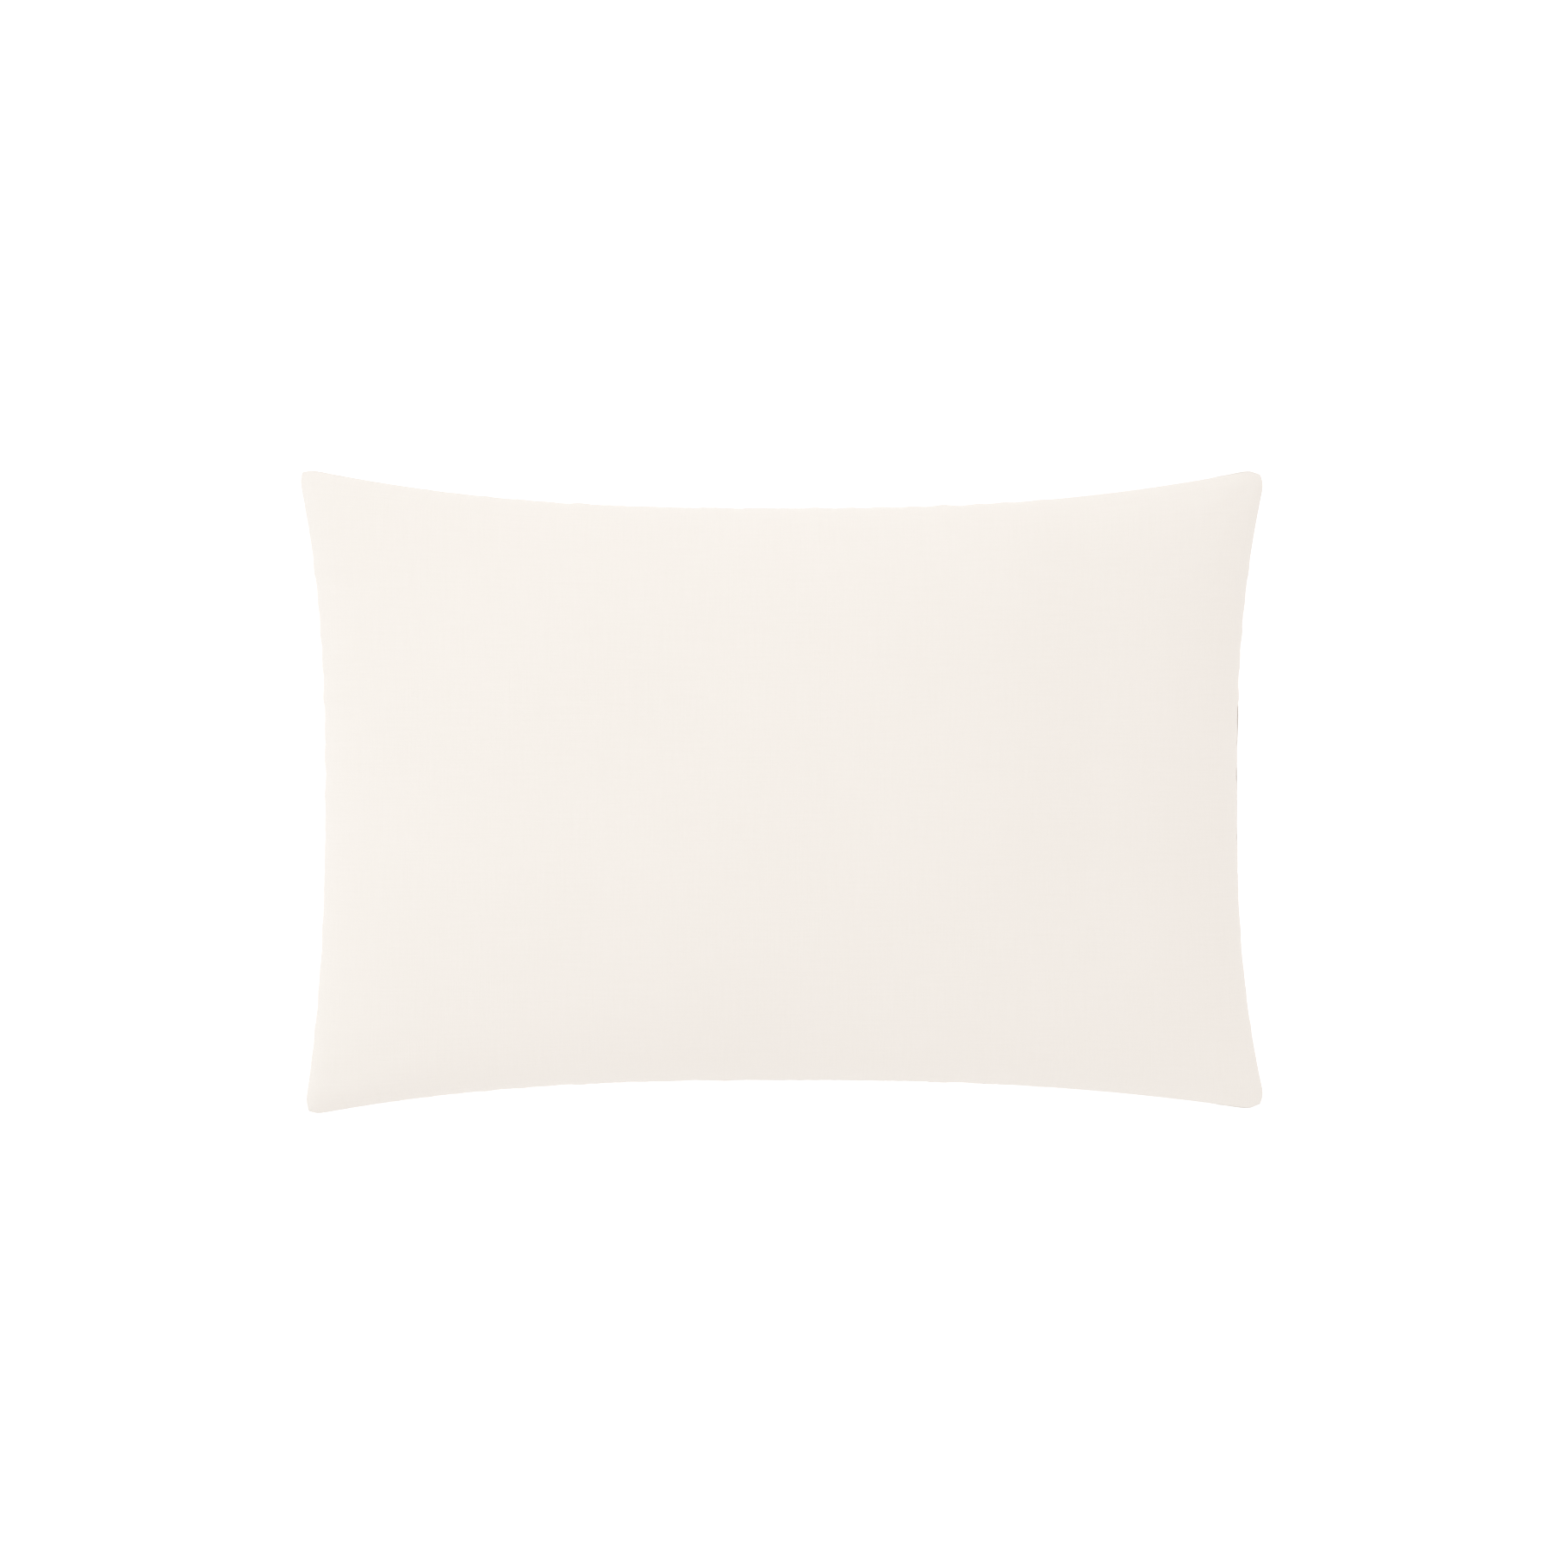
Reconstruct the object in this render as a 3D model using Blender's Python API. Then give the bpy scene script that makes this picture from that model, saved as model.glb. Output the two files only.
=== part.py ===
"""Bed pillow: a piped, fibre-filled pillow lying in a housewife pillowcase.

Metres, +Z up, the long sides along X. The pillow lies on its back panel, whose middle is the
flat patch at z = 0. The mouth of the pillowcase is at the +X end, on the underside.
Every cloth layer is a copy of one pillow shape, drawn in and thinned by its place in the stack.
"""
import math

import bmesh
import bpy
from mathutils import Vector

# the filled pillowcase, corner to corner
LENGTH = 0.747
WIDTH = 0.497
LOFT = 0.155
SEAM_HEIGHT = 0.070
CORNER_RADIUS = 0.009
CORNER_DROP = 0.005
# how far the middle of each edge is drawn in behind its corners by the filling
FAR_DRAW_IN = 0.030
NEAR_DRAW_IN = 0.026
MOUTH_DRAW_IN = 0.0235
CLOSED_DRAW_IN = 0.0215
DRAW_IN_POWER = 2.0
# the underside would bulge this far below the seams if the floor didn't flatten it
UNDER_BULGE = 0.088
FLOOR_BLEND = 0.006
FULLNESS = 2.2

# the pillowcase's cloth
CLOTH = 0.0006
LAYER_STEP = 0.0014
SEAM_TAPE = 0.0006
SEAM_ALLOWANCE = 0.010
SEAM_SLOT = 0.0016
MOUTH_SETBACK = 0.006
HEM_WIDTH = 0.035
HEM_STITCH_IN = 0.032
FLAP_DEPTH = 0.170
FLAP_HEM_WIDTH = 0.015
FLAP_STITCH_IN = 0.012
THREAD_RADIUS = 0.00028

# the pillow inside it
PIPING_INSET = 0.0145
PIPING_RADIUS = 0.0014
PIPING_FLANGE = 0.0058
TICKING_INSET = 0.0168
TICKING_CORNER_RADIUS = 0.018
TICKING_TOP_DEPTH = 0.0016
TICKING_UNDER_DEPTH = 0.0058
FILLING_INSET = 0.0232
FILLING_GAP = 0.0006
CLOSING_LENGTH = 0.160
CLOSING_PITCH = 0.010
LABEL_WIDTH = 0.030
LABEL_CLOTH = 0.0004

LENGTH_STEPS = 24
WIDTH_STEPS = 16

HALF_LENGTH = LENGTH / 2
HALF_WIDTH = WIDTH / 2
TOP_BULGE = LOFT - SEAM_HEIGHT
HALF_SLOT = SEAM_SLOT / 2
TOP = 1
UNDER = -1


def from_mouth(distance):
    """The length parameter at this distance in from the mouth end's corners."""
    return 1 - distance / HALF_LENGTH


U_MOUTH = from_mouth(MOUTH_SETBACK)
U_HEM_STITCH = from_mouth(MOUTH_SETBACK + HEM_STITCH_IN)
U_HEM = from_mouth(MOUTH_SETBACK + HEM_WIDTH)
U_FLAP_HEM = from_mouth(FLAP_DEPTH - FLAP_HEM_WIDTH)
U_FLAP_STITCH = from_mouth(FLAP_DEPTH - FLAP_STITCH_IN)
U_FLAP = from_mouth(FLAP_DEPTH)


def sine_steps(count):
    """Values from -1 to 1, closest together at the ends, where the cloth turns over."""
    return [math.sin(math.pi * (k / count - 0.5)) for k in range(count + 1)]


def with_stations(values, stations, nearest):
    """The values with these stations put in, and the values crowding them left out."""
    kept = [x for x in values if all(abs(x - s) > nearest for s in stations) or abs(x) == 1]
    return sorted(kept + stations)


V_STEPS = sine_steps(WIDTH_STEPS)
U_STEPS = sine_steps(LENGTH_STEPS)
U_STATIONS = [U_FLAP, U_FLAP_STITCH, U_FLAP_HEM, U_HEM, U_HEM_STITCH, U_MOUTH]
U_CASE = with_stations(U_STEPS, U_STATIONS, 0.003)


# ---------------------------------------------------------------- the pillow shape

def plan(u, v, inset, radius):
    """The point over the floor at u along and v across, on an outline drawn in by inset."""
    end = MOUTH_DRAW_IN if u > 0 else CLOSED_DRAW_IN
    side = FAR_DRAW_IN if v > 0 else NEAR_DRAW_IN
    reach_x = HALF_LENGTH - inset - end * (1 - abs(v) ** DRAW_IN_POWER)
    reach_y = HALF_WIDTH - inset - side * (1 - abs(u) ** DRAW_IN_POWER)
    x = abs(u) * reach_x
    y = abs(v) * reach_y
    # the corner square is pressed into a quarter disc
    p = max(0.0, radius - (reach_x - x))
    q = max(0.0, radius - (reach_y - y))
    x += p * math.sqrt(1 - q * q / (2 * radius * radius)) - p
    y += q * math.sqrt(1 - p * p / (2 * radius * radius)) - q
    return math.copysign(x, u), math.copysign(y, v)


def seam_level(u, v):
    """Height of the seams, which hang a little at the corners."""
    return SEAM_HEIGHT - CORNER_DROP * (u * u * v * v) ** 2


def swell(u, v):
    """1 at the middle of the pillow and 0 all along its edges."""
    return math.sqrt(max(0.0, (1 - abs(u) ** FULLNESS) * (1 - abs(v) ** FULLNESS)))


def on_floor(z):
    """The height as the floor leaves it, blended over FLOOR_BLEND."""
    if z >= FLOOR_BLEND:
        return z
    if z <= -FLOOR_BLEND:
        return 0.0
    return (z + FLOOR_BLEND) ** 2 / (4 * FLOOR_BLEND)


def layer_point(u, v, side, inset, depth, radius=CORNER_RADIUS):
    """A point on the layer that lies depth under the outer cloth, with its outline inset."""
    x, y = plan(u, v, inset, radius)
    edge = seam_level(u, v) + side * HALF_SLOT
    if side == TOP:
        return Vector((x, y, edge + (TOP_BULGE - HALF_SLOT - depth) * swell(u, v)))
    drop = edge - on_floor(edge - UNDER_BULGE * swell(u, v))
    return Vector((x, y, edge - drop * (1 - depth / (SEAM_HEIGHT - HALF_SLOT))))


def raised_point(u, v, side, inset, depth, radius, raise_by):
    """A point raised off a layer along the layer's outward normal."""
    step = 0.002
    u0, u1 = max(-1, u - step), min(1, u + step)
    v0, v1 = max(-1, v - step), min(1, v + step)
    along = layer_point(u1, v, side, inset, depth, radius) - layer_point(u0, v, side, inset, depth, radius)
    across = layer_point(u, v1, side, inset, depth, radius) - layer_point(u, v0, side, inset, depth, radius)
    out = along.cross(across).normalized() * side
    return layer_point(u, v, side, inset, depth, radius) + out * raise_by


# ---------------------------------------------------------------- bodies

def finish(bm, name, material):
    """The mesh as one named object, with its faces turned outward."""
    bmesh.ops.recalc_face_normals(bm, faces=bm.faces)
    if bm.calc_volume(signed=True) < 0:
        bmesh.ops.reverse_faces(bm, faces=bm.faces)
    mesh = bpy.data.meshes.new(name)
    bm.to_mesh(mesh)
    bm.free()
    mesh.materials.append(material)
    obj = bpy.data.objects.new(name, mesh)
    bpy.context.collection.objects.link(obj)
    return obj


def close_sheet(name, material, outer, inner):
    """A body between two grids of points: the two faces and the rim that joins them."""
    bm = bmesh.new()
    skins = [[[bm.verts.new(p) for p in row] for row in grid] for grid in (outer, inner)]
    rows, columns = len(outer), len(outer[0])
    for skin in skins:
        for i in range(rows - 1):
            for j in range(columns - 1):
                corners = skin[i][j], skin[i + 1][j], skin[i + 1][j + 1], skin[i][j + 1]
                # every layer is cut along the same diagonals, so that nested layers stay apart
                bm.faces.new((corners[0], corners[1], corners[2]))
                bm.faces.new((corners[0], corners[2], corners[3]))
    a, b = skins
    rim_a = a[0][:-1] + [row[-1] for row in a][:-1] + a[-1][:0:-1] + [row[0] for row in a][:0:-1]
    rim_b = b[0][:-1] + [row[-1] for row in b][:-1] + b[-1][:0:-1] + [row[0] for row in b][:0:-1]
    for k in range(len(rim_a)):
        n = (k + 1) % len(rim_a)
        bm.faces.new((rim_a[k], rim_a[n], rim_b[n], rim_b[k]))
    return finish(bm, name, material)


def cloth_layer(name, material, side, us, inset, depth, radius=CORNER_RADIUS, thick=CLOTH):
    """One panel: its outer face at this inset and depth, its inner face a cloth further in."""
    outer = [[layer_point(u, v, side, inset, depth, radius) for v in V_STEPS] for u in us]
    inner = [
        [layer_point(u, v, side, inset + thick, depth + thick, radius) for v in V_STEPS]
        for u in us
    ]
    return close_sheet(name, material, outer, inner)


def sweep(name, material, centres, outwards, profile, closed):
    """A profile of (outward, up) points carried along the centres."""
    bm = bmesh.new()
    rings = []
    for centre, outward in zip(centres, outwards):
        ring = [bm.verts.new(centre + outward * out + Vector((0, 0, up))) for out, up in profile]
        rings.append(ring)
    count = len(rings)
    for k in range(count if closed else count - 1):
        here, after = rings[k], rings[(k + 1) % count]
        for i in range(len(profile)):
            j = (i + 1) % len(profile)
            bm.faces.new((here[i], here[j], after[j], after[i]))
    if not closed:
        bm.faces.new(rings[0])
        bm.faces.new(rings[-1])
    return finish(bm, name, material)


def thread(name, material, points, radius, sides=6):
    """A round thread through the points."""
    bm = bmesh.new()
    rings = []
    last = len(points) - 1
    for k, point in enumerate(points):
        along = (points[min(last, k + 1)] - points[max(0, k - 1)]).normalized()
        right = along.cross(Vector((0, 0, 1))).normalized()
        up = right.cross(along)
        turns = [2 * math.pi * i / sides for i in range(sides)]
        rings.append(
            [bm.verts.new(point + (right * math.cos(t) + up * math.sin(t)) * radius) for t in turns]
        )
    for here, after in zip(rings, rings[1:]):
        for i in range(sides):
            j = (i + 1) % sides
            bm.faces.new((here[i], here[j], after[j], after[i]))
    bm.faces.new(rings[0])
    bm.faces.new(rings[-1])
    return finish(bm, name, material)


def label(name, material, us, vs, side, inset, depth, radius, raise_by):
    """A small folded tab of label cloth lying along a layer."""
    faces = []
    for height in (raise_by + LABEL_CLOTH, raise_by):
        faces.append(
            [[raised_point(u, v, side, inset, depth, radius, height) for v in vs] for u in us]
        )
    return close_sheet(name, material, *faces)


def spread(first, last, count):
    return [first + (last - first) * k / count for k in range(count + 1)]


# ---------------------------------------------------------------- the pillowcase

def case_panels(cotton):
    """The front panel, and the back panel, which stops short of the mouth end."""
    cloth_layer("case_front_panel", cotton, TOP, U_CASE, 0.0, 0.0)
    back = [u for u in U_CASE if u <= U_MOUTH]
    cloth_layer("case_back_panel", cotton, UNDER, back, 0.0, 0.0)


def case_mouth(cotton, hem_cotton, cotton_thread):
    """The back panel's turned hem, the tuck-in flap behind it, its hem, and both stitch rows."""
    hem = [u for u in U_CASE if U_HEM <= u <= U_MOUTH]
    cloth_layer("case_mouth_hem", hem_cotton, UNDER, hem, LAYER_STEP, LAYER_STEP)
    flap = [u for u in U_CASE if u >= U_FLAP]
    cloth_layer("case_tuck_flap", cotton, UNDER, flap, 2 * LAYER_STEP, 2 * LAYER_STEP)
    turned = [u for u in U_CASE if U_FLAP <= u <= U_FLAP_HEM]
    cloth_layer("case_flap_hem", hem_cotton, UNDER, turned, 3 * LAYER_STEP, 3 * LAYER_STEP)
    off = THREAD_RADIUS + 0.00035
    rows = V_STEPS[1:-1]
    row = [raised_point(U_HEM_STITCH, v, UNDER, 0, 0, CORNER_RADIUS, off) for v in rows]
    thread("case_hem_stitch", cotton_thread, row, THREAD_RADIUS)
    inset = 2 * LAYER_STEP
    row = [
        raised_point(U_FLAP_STITCH, v, UNDER, inset, inset, CORNER_RADIUS, off) for v in rows
    ]
    thread("case_flap_stitch", cotton_thread, row, THREAD_RADIUS)


def seam_tape(name, material, along, point_at):
    """An overlocked seam allowance, as a flat strip from the edge inward."""
    half = SEAM_TAPE / 2
    edges = []
    for inset in (0.0003, SEAM_ALLOWANCE):
        edges.append([point_at(t, inset) for t in along])
    upper = [[p + Vector((0, 0, half)) for p in edge] for edge in edges]
    lower = [[p - Vector((0, 0, half)) for p in edge] for edge in edges]
    return close_sheet(name, material, upper, lower)


def case_seams(overlock):
    """The four seams, which meet at the corners with a small gap."""

    def at(u, v, inset):
        x, y = plan(u, v, inset, CORNER_RADIUS)
        return Vector((x, y, seam_level(u, v)))

    end_u = 1 - 0.0007 / HALF_LENGTH
    end_v = 1 - 0.0007 / HALF_WIDTH
    us = [-end_u] + U_CASE[1:-1] + [end_u]
    vs = [-end_v] + V_STEPS[1:-1] + [end_v]
    seam_tape("case_seam_far", overlock, us, lambda t, inset: at(t, 1, inset))
    seam_tape("case_seam_near", overlock, us, lambda t, inset: at(t, -1, inset))
    seam_tape("case_seam_closed_end", overlock, vs, lambda t, inset: at(-1, t, inset))
    seam_tape("case_seam_mouth_end", overlock, vs, lambda t, inset: at(1, t, inset))


def case_label(satin):
    """The blank tab caught in the near seam, inside the front panel."""
    us = spread(0.66, 0.66 + LABEL_WIDTH / HALF_LENGTH, 4)
    vs = spread(-0.9995, -0.935, 8)
    label("case_care_label", satin, us, vs, TOP, SEAM_ALLOWANCE - 0.001, 0.001, CORNER_RADIUS, 0)


# ---------------------------------------------------------------- the pillow inside

def ticking(cotton):
    """The two panels of the pillow's own cover."""
    radius = TICKING_CORNER_RADIUS
    inset = TICKING_INSET
    cloth_layer("ticking_top_panel", cotton, TOP, U_STEPS, inset, TICKING_TOP_DEPTH, radius)
    cloth_layer("ticking_bottom_panel", cotton, UNDER, U_STEPS, inset, TICKING_UNDER_DEPTH, radius)


def piped_edge(piping):
    """The cord and its flange, one ring between the two ticking panels."""
    rim = [(u, -1) for u in U_STEPS[:-1]] + [(1, v) for v in V_STEPS[:-1]]
    rim += [(u, 1) for u in U_STEPS[:0:-1]] + [(-1, v) for v in V_STEPS[:0:-1]]
    centres = []
    for u, v in rim:
        x, y = plan(u, v, PIPING_INSET, TICKING_CORNER_RADIUS)
        centres.append(Vector((x, y, seam_level(u, v))))
    outwards = []
    for k in range(len(centres)):
        along = centres[(k + 1) % len(centres)] - centres[k - 1]
        outwards.append(Vector((along.y, -along.x, 0)).normalized())
    half = SEAM_TAPE / 2
    start = math.pi - math.asin(half / PIPING_RADIUS)
    turns = [start - 2 * start * k / 7 for k in range(8)]
    profile = [(PIPING_RADIUS * math.cos(t), PIPING_RADIUS * math.sin(t)) for t in turns]
    profile += [(-PIPING_FLANGE, -half), (-PIPING_FLANGE, half)]
    sweep("ticking_piped_edge", piping, centres, outwards, profile, closed=True)


def closing_stitch(cotton_thread):
    """The zigzag that shuts the filling hole, at the mouth end of the top panel."""
    count = int(CLOSING_LENGTH / CLOSING_PITCH) * 2
    points = []
    for k in range(count + 1):
        v = (k / count - 0.5) * CLOSING_LENGTH / HALF_WIDTH
        u = 0.9935 if k % 2 else 0.9885
        points.append(
            raised_point(
                u, v, TOP, TICKING_INSET, TICKING_TOP_DEPTH, TICKING_CORNER_RADIUS, 0.0012
            )
        )
    thread("ticking_closing_stitch", cotton_thread, points, THREAD_RADIUS, sides=5)


def ticking_label(satin):
    """The blank tab caught in the piping at the closed end."""
    us = spread(-0.998, -0.965, 8)
    vs = spread(0.45, 0.45 + LABEL_WIDTH / HALF_WIDTH, 4)
    radius = TICKING_CORNER_RADIUS
    label("ticking_care_label", satin, us, vs, TOP, TICKING_INSET, TICKING_TOP_DEPTH, radius, 0.001)


def filling(fibre):
    """The fibre filling, one solid a little smaller than the ticking all round."""
    top_depth = TICKING_TOP_DEPTH + CLOTH + FILLING_GAP
    under_depth = TICKING_UNDER_DEPTH + CLOTH + FILLING_GAP
    faces = []
    for side, depth in ((TOP, top_depth), (UNDER, under_depth)):
        faces.append(
            [
                [
                    layer_point(u, v, side, FILLING_INSET, depth, TICKING_CORNER_RADIUS)
                    for v in V_STEPS
                ]
                for u in U_STEPS
            ]
        )
    close_sheet("fibre_filling", fibre, *faces)


# ---------------------------------------------------------------- materials and assembly

def material(name, colour, roughness):
    made = bpy.data.materials.new(name)
    made.use_nodes = True
    shader = made.node_tree.nodes["Principled BSDF"]
    shader.inputs["Base Color"].default_value = (*colour, 1)
    shader.inputs["Roughness"].default_value = roughness
    shader.inputs["Metallic"].default_value = 0.0
    made.diffuse_color = (*colour, 1)
    return made


def build():
    for old in list(bpy.data.objects):
        bpy.data.objects.remove(old, do_unlink=True)
    percale = material("cream_percale", (0.90, 0.86, 0.81), 0.85)
    turned = material("cream_percale_turned", (0.88, 0.84, 0.78), 0.85)
    overlock = material("cream_overlock", (0.86, 0.81, 0.74), 0.9)
    sewing = material("cream_sewing_thread", (0.87, 0.83, 0.76), 0.6)
    white_cotton = material("white_ticking", (0.92, 0.92, 0.91), 0.85)
    white_piping = material("white_piping", (0.88, 0.88, 0.87), 0.8)
    white_thread = material("white_sewing_thread", (0.9, 0.9, 0.89), 0.6)
    satin = material("blank_satin_label", (0.93, 0.93, 0.92), 0.4)
    fibre = material("white_fibre", (0.93, 0.93, 0.92), 0.95)

    case_panels(percale)
    case_mouth(percale, turned, sewing)
    case_seams(overlock)
    case_label(satin)
    ticking(white_cotton)
    piped_edge(white_piping)
    closing_stitch(white_thread)
    ticking_label(satin)
    filling(fibre)


build()
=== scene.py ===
"""Looks for the bed pillow: its pillowcase, and the piped pillow inside it.

The pillowcase and the ticking are sewn flat, put on the pillow's shape and let settle as cloth.
Every layer, hem, seam and stitch is then laid on the settled cloth by its place on the flat cloth,
counted in fractions from -1 to 1 along and across.
"""
import math

import bmesh
import bpy
import numpy as np
from mathutils import Matrix, Vector, noise


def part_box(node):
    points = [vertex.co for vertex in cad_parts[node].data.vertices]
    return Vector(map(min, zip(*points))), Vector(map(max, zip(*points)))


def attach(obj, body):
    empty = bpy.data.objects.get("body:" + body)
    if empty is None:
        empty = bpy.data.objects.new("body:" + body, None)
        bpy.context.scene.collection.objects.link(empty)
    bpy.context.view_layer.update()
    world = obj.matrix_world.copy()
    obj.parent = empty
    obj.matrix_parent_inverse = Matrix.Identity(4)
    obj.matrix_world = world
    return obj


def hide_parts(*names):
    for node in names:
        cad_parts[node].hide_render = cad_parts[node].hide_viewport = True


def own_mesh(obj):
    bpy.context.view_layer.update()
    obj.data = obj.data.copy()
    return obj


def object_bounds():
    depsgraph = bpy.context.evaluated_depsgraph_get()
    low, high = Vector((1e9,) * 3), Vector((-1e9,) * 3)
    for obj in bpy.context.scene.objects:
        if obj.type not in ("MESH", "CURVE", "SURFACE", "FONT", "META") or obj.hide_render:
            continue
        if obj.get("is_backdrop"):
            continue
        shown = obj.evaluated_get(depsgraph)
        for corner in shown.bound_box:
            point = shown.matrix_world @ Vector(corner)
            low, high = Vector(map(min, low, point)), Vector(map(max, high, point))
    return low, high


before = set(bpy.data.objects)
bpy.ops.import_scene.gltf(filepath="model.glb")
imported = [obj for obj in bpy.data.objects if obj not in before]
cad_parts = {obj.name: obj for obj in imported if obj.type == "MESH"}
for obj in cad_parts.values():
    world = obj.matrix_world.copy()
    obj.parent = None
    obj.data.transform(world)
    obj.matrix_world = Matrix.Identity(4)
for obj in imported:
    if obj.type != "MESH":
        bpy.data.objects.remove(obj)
cad_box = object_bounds()

CASE = "pillowcase"
INSERT = "inner_pillow"
FRONT = 1
BACK = -1

# the filled shape, as the solids have it; its rounded corners stop a little short of its sides
low, high = (np.array(corner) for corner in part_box("case_front_panel"))
HALF_LENGTH = (high[0] - low[0]) / 2 + 0.0030
HALF_WIDTH = (high[1] - low[1]) / 2 + 0.0037
LOFT = high[2]
SEAM_HEIGHT = 0.070
UNDER_BULGE = 0.088
FLOOR_BLEND = 0.006
FULLNESS = 2.2
SECTION_RISE = 0.080
CORNER_DROP = 0.005
CASE_CORNER = 0.016
TICKING_CORNER = 0.018
DRAW_IN_X = {1: 0.0245, -1: 0.0228}
DRAW_IN_Y = {1: 0.0324, -1: 0.0284}
DRAW_IN_POWER = 2.5
MEAN_DRAW_IN = (0.0225, 0.028)
# the mouth's corners are the rounder ones
CORNER_SHARE = {1: 1.25, -1: 0.95}
# the near corners are pulled in a little further than the far ones
NEAR_LEFT_PULL = 0.0050
NEAR_RIGHT_PULL = 0.0040

# the flat cloths
CASE_FLAT = (0.750, 0.500)
TICKING_FLAT = (0.720, 0.470)
TICKING_INSET = 0.0170
TICKING_DEPTH = 0.0040
MOUTH_SETBACK = 0.008
HEM_WIDTH = 0.035
FLAP_DEPTH = 0.180
FLAP_HEM = 0.015
FLAP_STITCH_IN = 0.012
SEAM_ALLOWANCE = 0.010
SEAM_END = 0.028
CLOTH = 0.0004
PIPING_RADIUS = 0.0014
LABEL_WIDTH = 0.030
LABEL_LENGTH = 0.030
CARE_TAB_AT = 0.70
INNER_TAB_AT = 0.51
CLOSING_HALF = 0.080
CLOSING_UP = 0.008
CLOSING_PITCH = 0.0028
CLOSING_ZIG = 0.0020
CASE_HALF = (CASE_FLAT[0] / 2, CASE_FLAT[1] / 2)
TICKING_HALF = (TICKING_FLAT[0] / 2, TICKING_FLAT[1] / 2)

# where the hems and the flap end, as fractions of the way from the middle to the mouth
MOUTH_W = 1 - MOUTH_SETBACK / CASE_HALF[0]
HEM_W = 1 - (MOUTH_SETBACK + HEM_WIDTH) / CASE_HALF[0]
FLAP_W = 1 - FLAP_DEPTH / CASE_HALF[0]
FLAP_HEM_W = 1 - (FLAP_DEPTH - FLAP_HEM) / CASE_HALF[0]

# how far inside the back cloth each layer lies
HEM_DEPTH = 0.0007
FLAP_LAYER_DEPTH = 0.0017
FLAP_HEM_DEPTH = 0.0024
STITCH_PROUD = 0.00006
HEM_ROW = HEM_WIDTH - 0.002
LAYER_SHARE = 1 - 0.006

# how the cloth settles: the most a point may move, and how near its seams it is held still
SETTLE_CAP = 0.014
SEAM_HOLD = 0.05
INSIDE_GAPS = {FRONT: 0.0030, BACK: 0.0052}
FILLING_SHARE = 0.978
LUMP_SHARE = 0.007


# ------------------------------------------------------------------ camera, light and floor

CAMERA_PLACE = (0.0013, 0.0060, 3.354 + SEAM_HEIGHT)
SKY_TINT = (1, 0.990, 0.981, 1)
SKY_STRENGTH = 0.931
FLOOR_TONE = (0.55, 0.55, 0.55, 1)
FLOOR_GLOW = 0.60
FLOOR_UNDER = 0.0004


def camera_and_light():
    view = bpy.data.cameras.new("camera")
    view.lens = 100
    view.sensor_width = 36
    view.clip_end = 50
    camera = bpy.data.objects.new("camera", view)
    camera.location = CAMERA_PLACE
    bpy.context.collection.objects.link(camera)
    bpy.context.scene.camera = camera

    scene = bpy.context.scene
    scene.view_settings.view_transform = "Standard"
    scene.view_settings.look = "None"

    world = bpy.data.worlds.new("studio")
    world.use_nodes = True
    sky = world.node_tree.nodes["Background"]
    sky.inputs["Color"].default_value = SKY_TINT
    sky.inputs["Strength"].default_value = SKY_STRENGTH
    scene.world = world

    def softbox(name, place, size, power, colour):
        lamp = bpy.data.lights.new(name, "AREA")
        lamp.shape = "DISK"
        lamp.size = size
        lamp.energy = power
        lamp.color = colour
        made = bpy.data.objects.new(name, lamp)
        made.location = place
        made.rotation_euler = (-Vector(place)).to_track_quat("-Z", "Y").to_euler()
        bpy.context.collection.objects.link(made)

    softbox("key_softbox", (-2.4, 1.3, 1.9), 1.6, 6.0, (0.62, 0.86, 1.0))
    softbox("high_softbox", (-0.7, 0.8, 2.6), 1.6, 8.5, (1.0, 0.99, 0.97))


def studio_floor():
    bm = bmesh.new()
    bmesh.ops.create_grid(bm, x_segments=2, y_segments=2, size=6)
    floor = new_piece("studio_floor", bm, None)
    floor_paint = bpy.data.materials.new("studio_floor")
    floor_paint.use_nodes = True
    shader = floor_paint.node_tree.nodes["Principled BSDF"]
    shader.inputs["Base Color"].default_value = FLOOR_TONE
    shader.inputs["Roughness"].default_value = 1.0
    shader.inputs["Specular IOR Level"].default_value = 0.0
    shader.inputs["Emission Color"].default_value = (1, 1, 1, 1)
    shader.inputs["Emission Strength"].default_value = FLOOR_GLOW
    floor.data.materials.append(floor_paint)
    for vertex in floor.data.vertices:
        vertex.co.z = -FLOOR_UNDER
    floor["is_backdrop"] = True


def new_piece(name, bm, material):
    """The bmesh as an object at the origin."""
    mesh = bpy.data.meshes.new(name)
    bm.to_mesh(mesh)
    bm.free()
    mesh.shade_smooth()
    if material:
        mesh.materials.append(material)
    obj = bpy.data.objects.new(name, mesh)
    bpy.context.collection.objects.link(obj)
    return obj


# ------------------------------------------------------------------ the pillow's shape

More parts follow.
